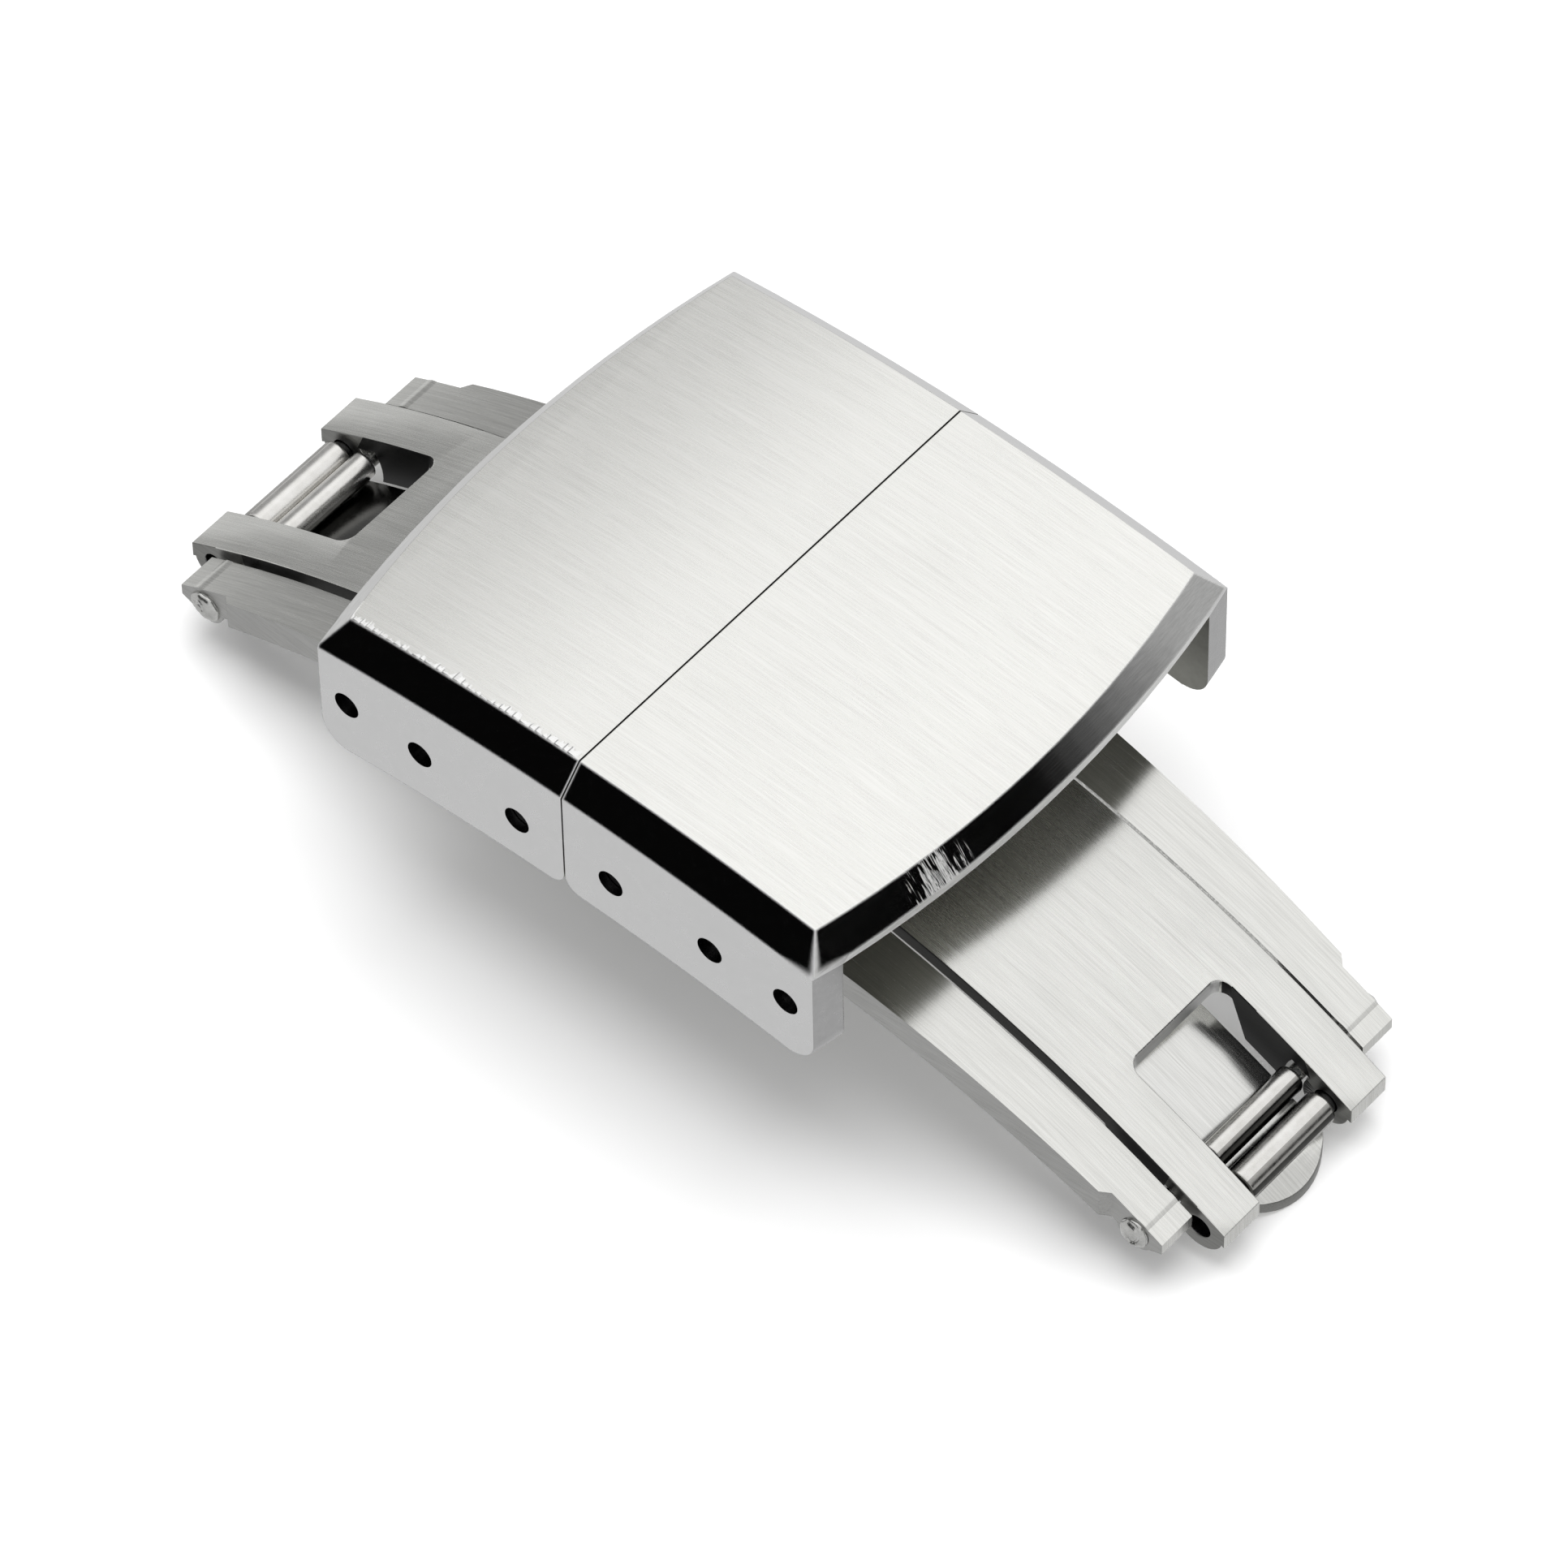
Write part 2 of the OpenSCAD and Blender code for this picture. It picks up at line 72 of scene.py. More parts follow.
# The hole in an arm's ear and the bore in a rail's ear, with the frame pin in it
HINGE_X, HINGE_Z, HINGE_HOLE_R = 20.95, 1.794, 0.45
FRAME_PIN_X, FRAME_PIN_Z, FRAME_BORE_R = 19.75, 2.283, 0.33
BORE_TOLERANCE = 0.03
# The arms: the arch of the upper face, the depth below it where the ribs start, and the ears' rounding
BLADE_R, BLADE_CENTRE_Z, ARM_DEPTH = 45, -37.09, 0.62
ARM_EAR_R = 1.0
# The window: its side walls lie inside this Y and X, its inner end wall between these two X
WINDOW_SIDE_Y, WINDOW_SIDE_X = 2.4, 20.3
WINDOW_END_Y, WINDOW_END_FROM_X, WINDOW_END_TO_X = 3, 12, 17
# Where the slits beside the arms open, where the rails' inner faces and ears are, and the strip's tip
SLIT_END_X = 19.6
RAIL_INNER_Y, RAIL_EAR_X = 4.6, 20.2
RAIL_FACE_Y = 5.80
STRIP_TIP_X = 20.4

# Brushed grain: noise cells per metre across and along the lines, and for surfaces without a direction
GRAIN_FINE, GRAIN_LONG, GRAIN_EVEN = 19000, 460, 2600
GRAIN_STRETCH = {
    "x": (GRAIN_LONG, GRAIN_FINE, GRAIN_LONG),
    "xz": (GRAIN_LONG, GRAIN_FINE, GRAIN_FINE),
    "y": (GRAIN_FINE, GRAIN_LONG, GRAIN_FINE),
    "none": (GRAIN_EVEN, GRAIN_EVEN, GRAIN_EVEN),
}
PATCHES = (240, 240, 240)
SCRATCHES = (900, 6000, 500)
# The middle part of the noise is what is stretched over a range
NOISE_RANGE = (0.3, 0.7)
PAINT_RANGE = (0.34, 0.62)

# The right cover's near corner, how far its rounding reaches and the radius there
CORNER = ((10.40, -10.1, 11.85), 1.5, 0.50)
# The scratched spot on the end chamfer, how far it reaches and the depth of the cuts
SCAR = ((10.9, -4.75, 12.35), 1.45, 0.12)
# Painted shade on the strip, darker towards the left: from and to this X, from and to this share of its
# colour
STRIP_PAINTED_SHADE = ((-14, -5), (0.17, 1.0))

# Studio, in metres. The even light all round; the lamps add to it
WORLD = 0.72
# A row of soft panels overhead, each from its X to the next one's, with the light it adds
PANELS = [(-0.40, 0.17), (-0.36, 0.22), (-0.32, 0.29), (-0.28, 0.36), (-0.24, 0.50), (-0.20, 0.44),
          (-0.05, 0.30), (0.40, 0.0)]
PANEL_Y, PANEL_Z, PANEL_WIDTH = 0.25, 0.40, 0.74
FLOOR_LAMP_Z, FLOOR_LAMP_SIDE, FLOOR_LAMP_LIGHT = 0.55, 0.42, 3.2
FLOOR_COLOR, FLOOR_GLOW, FLOOR_RADIUS = 0.95, 0.02, 3.0
# Cards that the metal mirrors: the way they stand off, the distance, the size and the shade
CARDS = {
    "black_front": ((-0.42, -0.84, 0.34), 0.36, (0.46, 0.20), 0.002),
    "black_right": ((0.985, 0.086, 0.20), 0.36, (0.31, 0.11), 0.002),
    "grey_left": ((-0.80, 0.46, 0.38), 0.36, (0.62, 0.22), 0.34),
}
CARD_AIM_Z = 0.01
# A row of narrow cards that fade from black to grey, for the end chamfer: angles in degrees
FADE_CARDS, FADE_START, FADE_STEP = 16, 26.5, 1.5
FADE_RISE, FADE_DISTANCE, FADE_SIZE = 0.20, 0.37, (0.0102, 0.11)
FADE_BLACK, FADE_GREY, FADE_CURVE, FADE_RAMP = 0.003, 0.42, 1.5, 9
# A grey sheet just over the floor, also for the metal only
SHEET_SIDE, SHEET_Z, SHEET_SHADE = 0.8, 0.00002, 0.63


def add_object(name, data):
    o = bpy.data.objects.new(name, data)
    bpy.context.scene.collection.objects.link(o)
    return o


def photo_camera():
    """A camera at the photograph's viewing angle."""
    azimuth, elevation, roll = (math.radians(v) for v in CAMERA_ANGLES)
    back = Vector((math.sin(azimuth) * math.cos(elevation),
                   -math.cos(azimuth) * math.cos(elevation),
                   math.sin(elevation)))
    level = Vector((math.cos(azimuth), math.sin(azimuth), 0))
    rise = back.cross(level)
    right = level * math.cos(roll) + rise * math.sin(roll)
    up = -level * math.sin(roll) + rise * math.cos(roll)
    place = (right * CAMERA_SHIFT[0] + up * CAMERA_SHIFT[1] + back * CAMERA_DISTANCE
             + Vector((0, 0, CROWN_Z)))
    data = bpy.data.cameras.new("camera")
    data.sensor_width = SENSOR
    data.lens = PHOTO_PX_PER_MM * CAMERA_DISTANCE / PHOTO_SIDE * SENSOR
    data.clip_start, data.clip_end = 0.01, 20
    turned = Matrix((right, up, back)).transposed().to_4x4()
    turned.translation = place * MM
    cam = add_object("camera", data)
    cam.matrix_world = turned
    bpy.context.scene.camera = cam
    bpy.context.scene.view_settings.view_transform = "Standard"


class Tree:
    """A node tree that starts empty, with short ways to add and join its nodes."""

    def __init__(self, owner):
        owner.use_nodes = True
        self.tree = owner.node_tree
        self.tree.nodes.clear()

    def add(self, kind, **settings):
        node = self.tree.nodes.new(kind)
        for key, value in settings.items():
            setattr(node, key, value)
        return node

    def wire(self, output, socket):
        self.tree.links.new(output, socket)

    def math(self, operation, a, b, clamp=False):
        node = self.add("ShaderNodeMath", operation=operation, use_clamp=clamp)
        for socket, value in zip(node.inputs, (a, b)):
            if isinstance(value, (int, float)):
                socket.default_value = value
            else:
                self.wire(value, socket)
        return node.outputs[0]

    def object_coords(self):
        return self.add("ShaderNodeTexCoord").outputs["Object"]

    def noise(self, stretch, detail, rough, seed):
        place = self.add("ShaderNodeMapping")
        place.inputs["Scale"].default_value = stretch
        self.wire(self.object_coords(), place.inputs["Vector"])
        node = self.add("ShaderNodeTexNoise", noise_dimensions="4D")
        node.inputs["W"].default_value = seed
        node.inputs["Scale"].default_value = 1.0
        node.inputs["Detail"].default_value = detail
        node.inputs["Roughness"].default_value = rough
        self.wire(place.outputs["Vector"], node.inputs["Vector"])
        return node.outputs["Fac"]

    def map_range(self, value, source, target, **settings):
        node = self.add("ShaderNodeMapRange", clamp=True, **settings)
        node.inputs["From Min"].default_value, node.inputs["From Max"].default_value = source
        node.inputs["To Min"].default_value, node.inputs["To Max"].default_value = target
        self.wire(value, node.inputs["Value"])
        return node.outputs["Result"]

    def color_ramp(self, value, dark, light):
        node = self.add("ShaderNodeValToRGB")
        for element, position, color in zip(node.color_ramp.elements, PAINT_RANGE, (dark, light)):
            element.position, element.color = position, (*color, 1)
        self.wire(value, node.inputs["Fac"])
        return node.outputs["Color"]

    def distance(self, point):
        node = self.add("ShaderNodeVectorMath", operation="DISTANCE")
        self.wire(self.object_coords(), node.inputs[0])
        node.inputs[1].default_value = tuple(v * MM for v in point)
        return node.outputs["Value"]

    def painted_shade_along_x(self, paint, span, shares):
        """The paint darkened softly along X, for painted shade."""
        place = self.add("ShaderNodeSeparateXYZ")
        self.wire(self.object_coords(), place.inputs[0])
        share = self.map_range(place.outputs["X"], tuple(v * MM for v in span), shares,
                               interpolation_type="SMOOTHSTEP")
        node = self.add("ShaderNodeVectorMath", operation="SCALE")
        self.wire(paint, node.inputs[0])
        self.wire(share, node.inputs["Scale"])
        return node.outputs["Vector"]

    def along_y(self):
        """The object's Y direction in world space."""
        axis = self.add("ShaderNodeCombineXYZ")
        axis.inputs["Y"].default_value = 1.0
        turn = self.add("ShaderNodeVectorTransform", vector_type="VECTOR", convert_from="OBJECT",
                        convert_to="WORLD")
        self.wire(axis.outputs[0], turn.inputs[0])
        return turn.outputs[0]

    def rounding(self, radius, corner):
        """Normals of rounded edges; towards a corner the radius grows."""
        node = self.add("ShaderNodeBevel", samples=6)
        node.inputs["Radius"].default_value = radius * MM
        if corner:
            point, reach, widest = corner
            grown = self.map_range(self.distance(point), (0.0, reach * MM), (widest * MM, radius * MM))
            self.wire(grown, node.inputs["Radius"])
        return node.outputs["Normal"]

    def scratches(self, point, reach):
        """Thin cuts that are deepest at a point and end at some reach from it."""
        near = self.map_range(self.distance(point), (reach * MM, 0.3 * reach * MM), (0.0, 1.0))
        cuts = self.map_range(self.noise(SCRATCHES, 2.0, 0.6, 9.0), NOISE_RANGE, (0.0, 1.0))
        return self.math("MULTIPLY", self.math("POWER", cuts, 3.0), near)

    def bumped(self, height, depth, normal):
        node = self.add("ShaderNodeBump")
        node.inputs["Strength"].default_value = 1.0
        node.inputs["Distance"].default_value = depth
        self.wire(height, node.inputs["Height"])
        if normal is not None:
            self.wire(normal, node.inputs["Normal"])
        return node.outputs["Normal"]


def metal(name, light, dark, rough, spread=0.04, grain="x", aniso=0.0, bump=0.0, cloud=0.0, edge=0.03,
          scar=None, fade=None, corner=None):
    """Steel with a grain, cloudy wear and a bump: the bump is in micrometres, the edge in millimetres."""
    mat = bpy.data.materials.new(name)
    t = Tree(mat)
    out = t.add("ShaderNodeOutputMaterial")
    steel = t.add("ShaderNodeBsdfPrincipled")
    t.wire(steel.outputs["BSDF"], out.inputs["Surface"])
    steel.inputs["Metallic"].default_value = 1.0

    stretch = GRAIN_STRETCH[grain]
    lines = t.noise(stretch, 4.0, 0.62, 1.0)
    wide = t.noise(tuple(v * 0.25 for v in stretch), 2.0, 0.5, 4.0)
    patch = t.noise(PATCHES, 2.0, 0.5, 7.0)
    mix = t.math("ADD", t.math("MULTIPLY", lines, 0.8), t.math("MULTIPLY", wide, 0.2))
    tone = t.math("ADD", t.math("MULTIPLY", mix, 1.0 - cloud), t.math("MULTIPLY", patch, cloud))
    paint = t.color_ramp(tone, dark, light)
    # Painted shade: the colour is scaled down along X
    if fade:
        paint = t.painted_shade_along_x(paint, *fade)
    t.wire(paint, steel.inputs["Base Color"])
    t.wire(t.map_range(mix, NOISE_RANGE, (rough - spread, rough + spread)), steel.inputs["Roughness"])

    if aniso:
        # The grain runs along X, so reflections spread along Y
        steel.inputs["Anisotropic"].default_value = aniso
        t.wire(t.along_y(), steel.inputs["Tangent"])

    normal = t.rounding(edge, corner) if edge else None
    if bump:
        normal = t.bumped(mix, bump * 1e-6, normal)
    if scar:
        point, reach, depth = scar
        normal = t.bumped(t.scratches(point, reach), depth * MM, normal)
    if normal is not None:
        t.wire(normal, steel.inputs["Normal"])
    return mat


MATS = {
    # Covers
    "top": metal("cover_brushed", (0.94, 0.938, 0.908), (0.76, 0.758, 0.73), 0.28,
                 aniso=0.98, bump=1.0),
    # A lighter copy of the brushed top for the left cover: painted light
    "top_left": metal("cover_brushed_painted_light", (0.95, 0.948, 0.918), (0.78, 0.778, 0.75), 0.28,
                      aniso=0.98, bump=1.0),
    "polish_end": metal("chamfer_end", (0.88, 0.88, 0.87), (0.64, 0.64, 0.63), 0.07, 0.03, "y",
                        cloud=0.35, bump=0.5, edge=0.13, scar=SCAR, corner=CORNER),
    "polish": metal("cover_polished", (0.89, 0.89, 0.89), (0.86, 0.86, 0.86), 0.06, 0.02, "none",
                    edge=0.13, corner=CORNER),
    "wall": metal("cover_wall", (0.82, 0.82, 0.82), (0.79, 0.79, 0.79), 0.26, 0.03, "none", edge=0.05),
    # A darker copy of the wall steel for the walls' end faces: painted shade
    "wall_end_painted_shade": metal("cover_wall_end", (0.52, 0.52, 0.52), (0.46, 0.46, 0.46), 0.26, 0.03, "none",
                      edge=0.05),
    "lip": metal("cover_lip", (0.95, 0.95, 0.94), (0.80, 0.80, 0.79), 0.45, 0.08, "y",
                 bump=2.0, edge=0.04),
    "burr": metal("worn_edge", (0.96, 0.96, 0.95), (0.80, 0.80, 0.79), 0.28, 0.05,
                  aniso=0.9, bump=3.0, edge=0),
    # Inner faces and the underside of the covers are darkened: painted shade
    "inside": metal("cover_inside_painted_shade", (0.34, 0.34, 0.31), (0.23, 0.23, 0.205), 0.40, 0.06, "none",
                    cloud=0.3),
    # Arms, frame and strip
    "arm": metal("arm_brushed", (0.89, 0.89, 0.86), (0.69, 0.69, 0.665), 0.27,
                 aniso=0.98, bump=1.2, edge=0),
    "rail": metal("rail_brushed", (0.87, 0.87, 0.84), (0.68, 0.68, 0.655), 0.25,
                  aniso=0.98, bump=1.2, edge=0),
    # A darker copy of the rail steel for the rails' outer sides: painted shade
    "flank": metal("rail_flanks_painted_shade", (0.50, 0.50, 0.49), (0.36, 0.36, 0.35), 0.30, 0.05, "xz",
                   cloud=0.2, edge=0.06),
    # Dark steel for sides, ribs and undersides: painted shade
    "side": metal("blade_sides_painted_shade", (0.30, 0.30, 0.29), (0.18, 0.18, 0.17), 0.34, 0.05, "xz",
                  cloud=0.2, edge=0),
    # Near-black steel for the faces in the slits beside the arms: painted shade
    "slit": metal("blade_slits_painted_shade", (0.07, 0.07, 0.07), (0.03, 0.03, 0.03), 0.45, 0.05, "xz",
                  cloud=0.2, edge=0),
    # Black for the window's side walls: painted shade
    "window_wall": metal("window_walls_painted_shade", (0.03, 0.03, 0.03), (0.012, 0.012, 0.012), 0.45, 0.05, "xz",
                         cloud=0.2, edge=0),
    "strip": metal("strip_satin_painted_shade", (0.80, 0.80, 0.78), (0.62, 0.62, 0.60), 0.19,
                   bump=0.8, edge=0, fade=STRIP_PAINTED_SHADE),
    # Barrels, pins, rivets, spring and bores
    "barrel": metal("barrel_polished", (0.82, 0.81, 0.79), (0.66, 0.65, 0.62), 0.27, 0.05, "none",
                    cloud=0.3, edge=0),
    # Darker copies of the barrel steel for the painted bands of shade
    "barrel_painted_mid_shade": metal("barrel_painted_mid_shade", (0.50, 0.49, 0.47), (0.34, 0.335, 0.32), 0.22, 0.06, "none",
                        cloud=0.4, edge=0),
    "barrel_painted_dark_shade": metal("barrel_painted_dark_shade", (0.08, 0.08, 0.075), (0.04, 0.04, 0.038), 0.22, 0.06, "none",
                         cloud=0.4, edge=0),
    "pin": metal("pin_steel", (0.74, 0.74, 0.73), (0.58, 0.58, 0.57), 0.26, 0.06, "none", cloud=0.4),
    "rivet": metal("rivet_hammered", (0.80, 0.80, 0.78), (0.34, 0.34, 0.33), 0.24, 0.08, "none",
                   cloud=0.5, bump=16.0, edge=0),
    "spring": metal("spring_steel", (0.70, 0.70, 0.68), (0.60, 0.60, 0.58), 0.28, 0.05),
    # Near-black for hole walls and the pins inside them: painted shade
    "bore": metal("bore_painted_shade", (0.16, 0.16, 0.16), (0.02, 0.02, 0.025), 0.24, 0.08, "none",
                  cloud=0.2, bump=6.0, edge=0),
}


def dress(name, rule, names):
    """Puts materials on a node's faces by what each face is: the rule gets its centre and its normal."""
    mesh = nodes[name].data
    mesh.materials.clear()
    for n in names:
        mesh.materials.append(MATS[n])
    index = {n: i for i, n in enumerate(names)}
    pick = np.zeros(len(mesh.polygons), np.int32)
    for face in mesh.polygons:
        pick[face.index] = index[rule(face.center / MM, face.normal)]
    mesh.polygons.foreach_set("material_index", pick)


def plain(name, material):
    dress(name, lambda c, n: material, [material])


def on_bore(c, x, z, radius):
    """Whether a face's centre lies on the wall of a hole that runs along Y."""
    return abs(math.hypot(abs(c.x) - x, c.z - z) - radius) < BORE_TOLERANCE


def cover_rule(c, n):
    x, y = abs(c.x), abs(c.y)
    if abs(n.y) < 0.2 and any(on_bore(c, hole, WALL_HOLES_Z, WALL_HOLE_R) for hole in WALL_HOLES_X):
        return "bore"
    if n.z > TOP_NORMAL and c.z > TOP_Z:
        # The left cover's top takes the lighter copy: painted light
        return "top_left" if c.x < 0 else "top"
    if n.z > 0.4:
        return "polish_end" if abs(n.x) > 0.5 else "polish"
    if abs(n.y) > 0.9 and y > WALL_OUTER_Y:
        return "wall"
    if abs(n.x) > 0.8 and x > COVER_END_X:
        if y < WALL_INNER_Y and c.z > LIP_Z:
            return "lip"
        # Below the lip the end faces take the darker copy: painted shade
        return "wall_end_painted_shade" if c.z < WALL_END_Z else "wall"
    # Everything else, inside and under the cover, takes painted shade
    return "inside"


def arm_rule(c, n):
    x, y = abs(c.x), abs(c.y)
    if abs(n.y) < 0.3 and on_bore(c, HINGE_X, HINGE_Z, HINGE_HOLE_R):
        return "bore"
    if abs(n.y) > 0.8:
        # The window's side walls are painted black: painted shade
        if y < WINDOW_SIDE_Y and x < WINDOW_SIDE_X:
            return "window_wall"
        # Faces along the slits take near-black painted shade, the rest of the sides darker painted shade
        return "slit" if x < SLIT_END_X else "side"
    # The window's inner end wall
    if n.x * c.x > 0 and abs(n.x) > 0.7 and WINDOW_END_FROM_X < x < WINDOW_END_TO_X and y < WINDOW_END_Y:
        return "lip"
    # The ribs under the prongs, but not the rounding about the hinge, take painted shade
    below = BLADE_R - math.hypot(x, c.z - BLADE_CENTRE_Z)
    if n.z < 0.2 and below > ARM_DEPTH and math.hypot(x - HINGE_X, c.z - HINGE_Z) > ARM_EAR_R:
        return "side"
    return "arm"


def strip_rule(c, n):
    if abs(n.z) < 0.5:
        # The strip's edges take painted shade
        return "side"
    # The strip's right tip takes the lighter rail steel: painted light
    return "rail" if c.x > STRIP_TIP_X else "strip"


def rail_rule(c, n):
    if abs(n.y) < 0.3 and on_bore(c, FRAME_PIN_X, FRAME_PIN_Z, FRAME_BORE_R):
        return "bore"
    if abs(n.y) > 0.7:
        # Inner faces keep the rail steel; outer sides take the flanks' painted shade
        return "rail" if abs(c.y) < RAIL_INNER_Y else "flank"
    # Undersides away from the ears take painted shade
    return "rail" if n.z > 0 or abs(c.x) > RAIL_EAR_X else "side"


def barrel_rule(side, inner):
    """Painted shade: bands of darker copies of the barrel steel round a barrel, by how far a face is turned
    from the top towards the outer end.
    """
    left, sign = side == "left", -1 if side == "left" else 1

    def rule(c, n):
        if abs(n.y) > 0.6:
            return "barrel_painted_mid_shade"
        turn = math.degrees(math.atan2(n.x * sign, n.z))
        if inner and left:
            return "barrel" if turn > -70 else "barrel_painted_mid_shade"
        if inner:
            return "barrel" if -42 < turn < 32 else "barrel_painted_mid_shade" if 32 <= turn < 44 else "barrel_painted_dark_shade"
        if turn < 34 and (left or turn > -38):
            return "barrel"
        return "barrel_painted_mid_shade" if 34 <= turn < 66 or turn > 88 else "barrel_painted_dark_shade"
    return rule


for side in SIDES:
    dress("cover_" + side, cover_rule,
          ["top", "top_left", "polish", "polish_end", "wall", "wall_end_painted_shade", "lip", "inside", "bore"])
    dress("arm_" + side, arm_rule, ["arm", "bore", "slit", "window_wall", "side", "lip"])
    for barrel in ("frame_barrel_", "hinge_barrel_"):
        dress(barrel + side, barrel_rule(side, barrel == "frame_barrel_"),
              ["barrel", "barrel_painted_mid_shade", "barrel_painted_dark_shade"])
    # The pins in the holes take the bore's painted shade
    plain("arm_pin_" + side, "bore")
    plain("cover_pin_" + side, "bore")
    plain("cover_spacers_" + side, "pin")
    plain("frame_pin_" + side, "pin")
dress("base_frame", rail_rule, ["rail", "bore", "flank", "side"])
dress("spine_strip", strip_rule, ["strip", "rail", "side"])
plain("spine_rivets", "pin")
plain("catch_rivets", "pin")
plain("catch_block", "pin")
plain("catch_spring", "spring")


def finish_edges(name, width):
    """Small real roundings on the edges that the solids leave sharp."""
    modifiers = nodes[name].modifiers
    modifiers.new("weld", "WELD").merge_threshold = 1e-7
    flat = modifiers.new("flat", "DECIMATE")
    flat.decimate_type = "DISSOLVE"
    flat.angle_limit = math.radians(0.3)
    flat.delimit = {"MATERIAL"}
    edges = modifiers.new("edges", "BEVEL")
    edges.width = width * MM
    edges.segments = 3
    edges.limit_method = "ANGLE"
    edges.angle_limit = math.radians(28)
    edges.use_clamp_overlap = False
    edges.harden_normals = True


for name, width in (("arm_left", 0.05), ("arm_right", 0.05), ("spine_strip", 0.04)):
    finish_edges(name, width)


def near_top_edge(cover):
    """Points along the near edge of a cover's top face, in order of X."""
    mesh = nodes[cover].data
    line = {}
    for face in mesh.polygons:
        if face.normal.z > TOP_NORMAL and face.center.z > TOP_Z * MM:
            for k in face.vertices:
                v = mesh.vertices[k].co
                at = round(v.x / MM, 2)
                if at not in line or v.y < line[at].y:
                    line[at] = v.copy()
    return [line[at] for at in sorted(line) if line[at].y < -8.0 * MM]


def worn_edge():
    """The left cover's near top edge is worn: a thin bright burr of changing width lies along it."""
    step, margin, teeth = 0.05 * MM, 0.1 * MM, 0.026 * MM
    lap, foot, sink, seat = 0.02 * MM, 0.010 * MM, 0.010 * MM, 0.004 * MM
    smooth, middle, swing, ragged, least, most = 9, 0.18, 0.8, 0.09, 0.03, 0.40

    along = near_top_edge("cover_left")
    xs = np.arange(along[0].x + margin, along[-1].x - margin, step)
    ys = np.interp(xs, [v.x for v in along], [v.y for v in along])
    zs = np.interp(xs, [v.x for v in along], [v.z for v in along])

    rng = np.random.default_rng(11)
    wave = np.convolve(rng.uniform(0, 1, len(xs) + smooth - 1), np.ones(smooth) / smooth, "valid") - 0.5
    torn = np.clip(middle + swing * wave + rng.uniform(-ragged, ragged, len(xs)), least, most) * MM
    phases = np.cumsum(rng.uniform(0.02, 0.30, len(xs)))

    bm = bmesh.new()
    rows = []
    for x, y, z, w, phase in zip(xs, ys, zs, torn, phases):
        # Short teeth that lean to the right, so that they mirror the brighter part of the studio
        tooth = teeth * (1 - phase % 1)
        profile = ((x, y - foot, z - sink), (x, y + lap, z + tooth), (x, y + w, z + tooth),
                   (x, y + w + lap, z - seat))
        rows.append([bm.verts.new(place) for place in profile])
    for a, b in zip(rows, rows[1:]):
        for k in range(3):
            bm.faces.new((a[k], b[k], b[k + 1], a[k + 1]))
    bm.normal_update()
    mesh = bpy.data.meshes.new("worn_edge")
    bm.to_mesh(mesh)
    bm.free()
    mesh.materials.append(MATS["burr"])
    burr = add_object("worn_edge", mesh)
    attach(burr, "cover_left")


def rivet_head(name, tear, twist, far):
    """A hammered head: a low dome with a twisted, torn rim, its back at Y = 0 and its front towards -Y."""
    rings, spokes, radius, height, sunk = 14, 48, 0.56, 0.295, 0.05
    swirl, ridge, groove = 5.2, 0.065, 0.130
    bm = bmesh.new()
    layers = []
    for r in range(rings + 1):
        f = r / rings
        loop = []
        for k in range(spokes):
            a = 2 * math.pi * k / spokes
            lobe = (1 + 0.07 * math.sin(2 * a + twist) + 0.045 * math.sin(3 * a + 2 * twist)
                    + 0.03 * math.sin(7 * a))
            out = radius * f * lobe
            turned = a - swirl * f + twist
            high = height * math.sqrt(max(0.0, 1 - 0.93 * f * f))
            high += ridge * max(0.0, math.sin(turned)) ** 6 * math.sin(math.pi * min(1, f * 1.05)) * tear
            high -= groove * max(0.0, math.sin(turned - 0.55)) ** 10 * math.sin(math.pi * f)
            loop.append(bm.verts.new((out * math.cos(a) * MM, -high * MM, out * math.sin(a) * MM)))
        layers.append(loop)
    foot = [bm.verts.new((v.co.x, sunk * MM, v.co.z)) for v in layers[-1]]
    layers.append(foot)
    bmesh.ops.pointmerge(bm, verts=layers[0], merge_co=(0, -height * MM, 0))
    for inner, outer in zip(layers[1:], layers[2:]):
        for k in range(spokes):
            after = (k + 1) % spokes
            bm.faces.new((inner[k], inner[after], outer[after], outer[k]))
    top = next(v for v in bm.verts if not v.link_faces)
    for k in range(spokes):
        bm.faces.new((top, layers[1][(k + 1) % spokes], layers[1][k]))
    bm.faces.new(foot)
    bmesh.ops.recalc_face_normals(bm, faces=bm.faces)
    if far:
        bmesh.ops.scale(bm, vec=(1, -1, 1), verts=bm.verts)
        bmesh.ops.reverse_faces(bm, faces=bm.faces)
    mesh = bpy.data.meshes.new(name)
    bm.to_mesh(mesh)
    bm.free()
    mesh.shade_smooth()
    mesh.materials.append(MATS["rivet"])
    return add_object(name, mesh)


def rivet_heads():
    """One head over each end of the two frame pins."""
    rng = np.random.default_rng(5)
    for i, (end, face) in enumerate(((1, -1), (1, 1), (-1, -1), (-1, 1))):
        tear, twist = rng.uniform(0.6, 1.2), rng.uniform(0, 6.28)
        head = rivet_head("rivet_head_%d" % i, tear, twist, face > 0)
        head.location = (end * FRAME_PIN_X * MM, face * RAIL_FACE_Y * MM, FRAME_PIN_Z * MM)
        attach(head, "base")


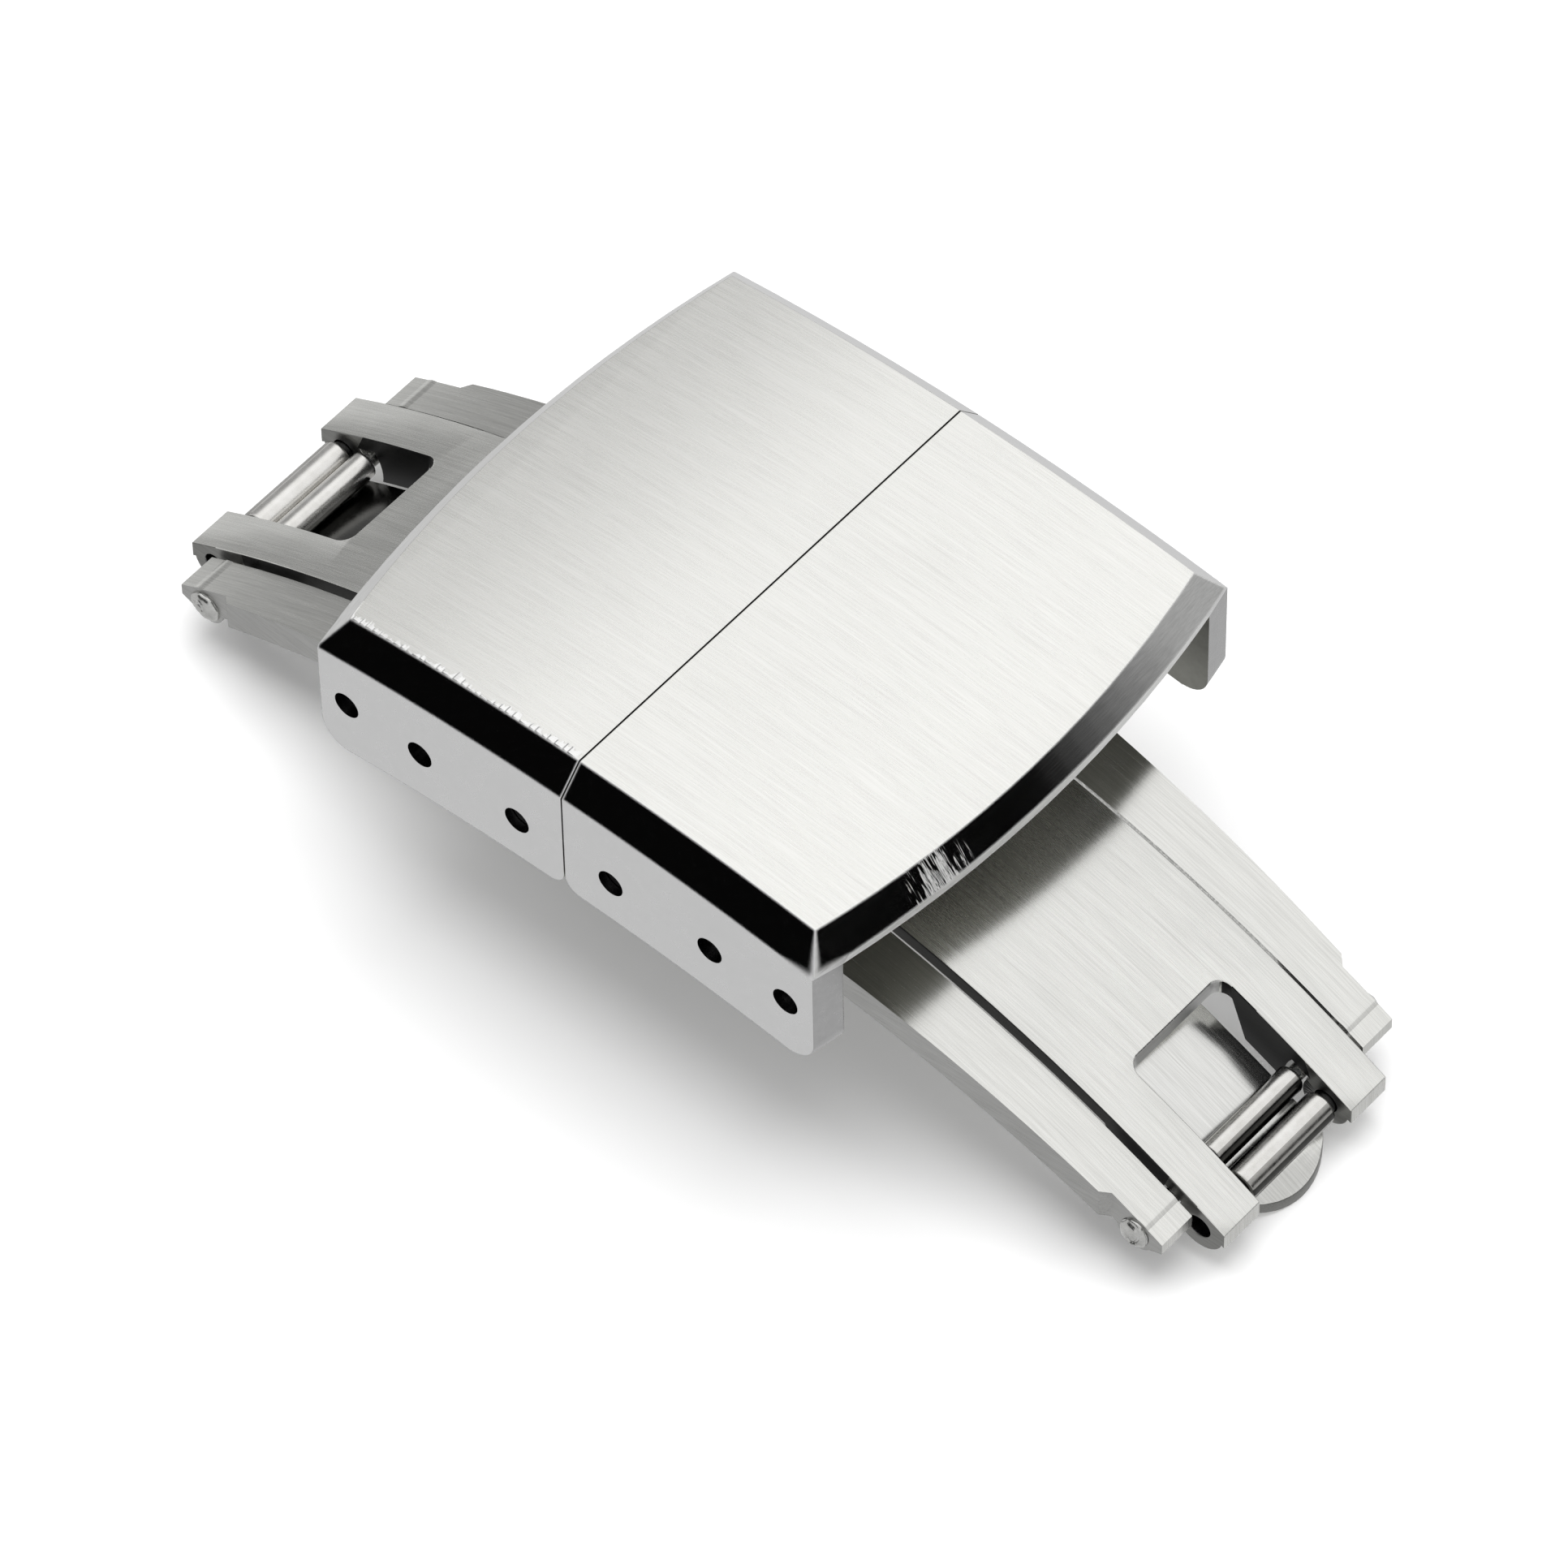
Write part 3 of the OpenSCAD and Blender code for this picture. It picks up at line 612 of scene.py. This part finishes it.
def floor():
    """A pale floor that takes the shadow; a faint glow lifts it to white for the camera and in mirrors."""
    mesh = bpy.data.meshes.new("floor")
    bm = bmesh.new()
    bmesh.ops.create_circle(bm, cap_ends=True, radius=FLOOR_RADIUS, segments=64)
    bm.to_mesh(mesh)
    bm.free()
    mat = bpy.data.materials.new("floor")
    t = Tree(mat)
    diffuse = t.add("ShaderNodeBsdfDiffuse")
    diffuse.inputs["Color"].default_value = (FLOOR_COLOR, FLOOR_COLOR, FLOOR_COLOR, 1)
    unlit, glow = t.add("ShaderNodeEmission"), t.add("ShaderNodeEmission")
    unlit.inputs["Strength"].default_value = 0.0
    glow.inputs["Strength"].default_value = FLOOR_GLOW
    path = t.add("ShaderNodeLightPath").outputs
    seen = t.math("ADD", path["Is Camera Ray"], path["Is Glossy Ray"], clamp=True)
    seen = t.math("ADD", seen, path["Is Transmission Ray"], clamp=True)
    pick = t.add("ShaderNodeMixShader")
    for output, socket in zip((seen, unlit.outputs[0], glow.outputs[0]), pick.inputs):
        t.wire(output, socket)
    both = t.add("ShaderNodeAddShader")
    t.wire(diffuse.outputs[0], both.inputs[0])
    t.wire(pick.outputs[0], both.inputs[1])
    t.wire(both.outputs[0], t.add("ShaderNodeOutputMaterial").inputs["Surface"])
    mesh.materials.append(mat)
    add_object("floor", mesh)


def world():
    w = bpy.data.worlds.new("world")
    bpy.context.scene.world = w
    t = Tree(w)
    even = t.add("ShaderNodeBackground")
    even.inputs["Color"].default_value = (1, 1, 1, 1)
    even.inputs["Strength"].default_value = WORLD
    t.wire(even.outputs[0], t.add("ShaderNodeOutputWorld").inputs["Surface"])


def lamp(name, place, size, radiance):
    """A flat lamp that shines straight down."""
    data = bpy.data.lights.new(name, "AREA")
    data.shape = "RECTANGLE"
    data.size, data.size_y = size
    data.energy = math.pi * size[0] * size[1] * radiance
    o = add_object(name, data)
    o.location = Vector(place)
    o.rotation_mode = "QUATERNION"
    o.rotation_quaternion = Vector((0, 0, -1)).to_track_quat("-Z", "Y")
    return o


def metal_only(name, size, shade):
    """A flat glowing sheet that only metal mirrors: it isn't seen, and it takes and gives no light."""
    w, h = size[0] / 2, size[1] / 2
    mesh = bpy.data.meshes.new(name)
    mesh.from_pydata([(-w, -h, 0), (w, -h, 0), (w, h, 0), (-w, h, 0)], [], [(0, 1, 2, 3)])
    mat = bpy.data.materials.new(name)
    t = Tree(mat)
    glow = t.add("ShaderNodeEmission")
    glow.inputs["Color"].default_value = (shade, shade, shade, 1)
    t.wire(glow.outputs[0], t.add("ShaderNodeOutputMaterial").inputs["Surface"])
    mesh.materials.append(mat)
    o = add_object(name, mesh)
    o.visible_camera = o.visible_diffuse = o.visible_shadow = False
    return o


def card(name, toward, distance, size, shade):
    """A studio card that stands off in one direction and faces the object."""
    o = metal_only(name, size, shade)
    away = Vector(toward).normalized()
    o.location = away * distance + Vector((0, 0, CARD_AIM_Z))
    o.rotation_mode = "QUATERNION"
    o.rotation_quaternion = away.to_track_quat("Z", "Y")


def studio():
    for i, ((x0, light), (x1, _)) in enumerate(zip(PANELS, PANELS[1:])):
        lamp("soft_%d" % i, ((x0 + x1) / 2, PANEL_Y, PANEL_Z), (x1 - x0, PANEL_WIDTH), light)
    # This one is for the floor: the metal doesn't mirror it
    overhead = lamp("floor_light", (0, 0, FLOOR_LAMP_Z), (FLOOR_LAMP_SIDE, FLOOR_LAMP_SIDE), FLOOR_LAMP_LIGHT)
    overhead.visible_glossy = False
    for name, values in CARDS.items():
        card(name, *values)
    for i in range(FADE_CARDS):
        turn = math.radians(FADE_START + FADE_STEP * i)
        share = min(1.0, max(0.0, (i - 1) / FADE_RAMP))
        card("fade_%d" % i, (math.cos(turn), math.sin(turn), FADE_RISE), FADE_DISTANCE, FADE_SIZE,
             FADE_BLACK + FADE_GREY * share ** FADE_CURVE)
    sheet = metal_only("floor_card", (SHEET_SIDE, SHEET_SIDE), SHEET_SHADE)
    sheet.location.z = SHEET_Z


worn_edge()
rivet_heads()
photo_camera()
floor()
world()
studio()
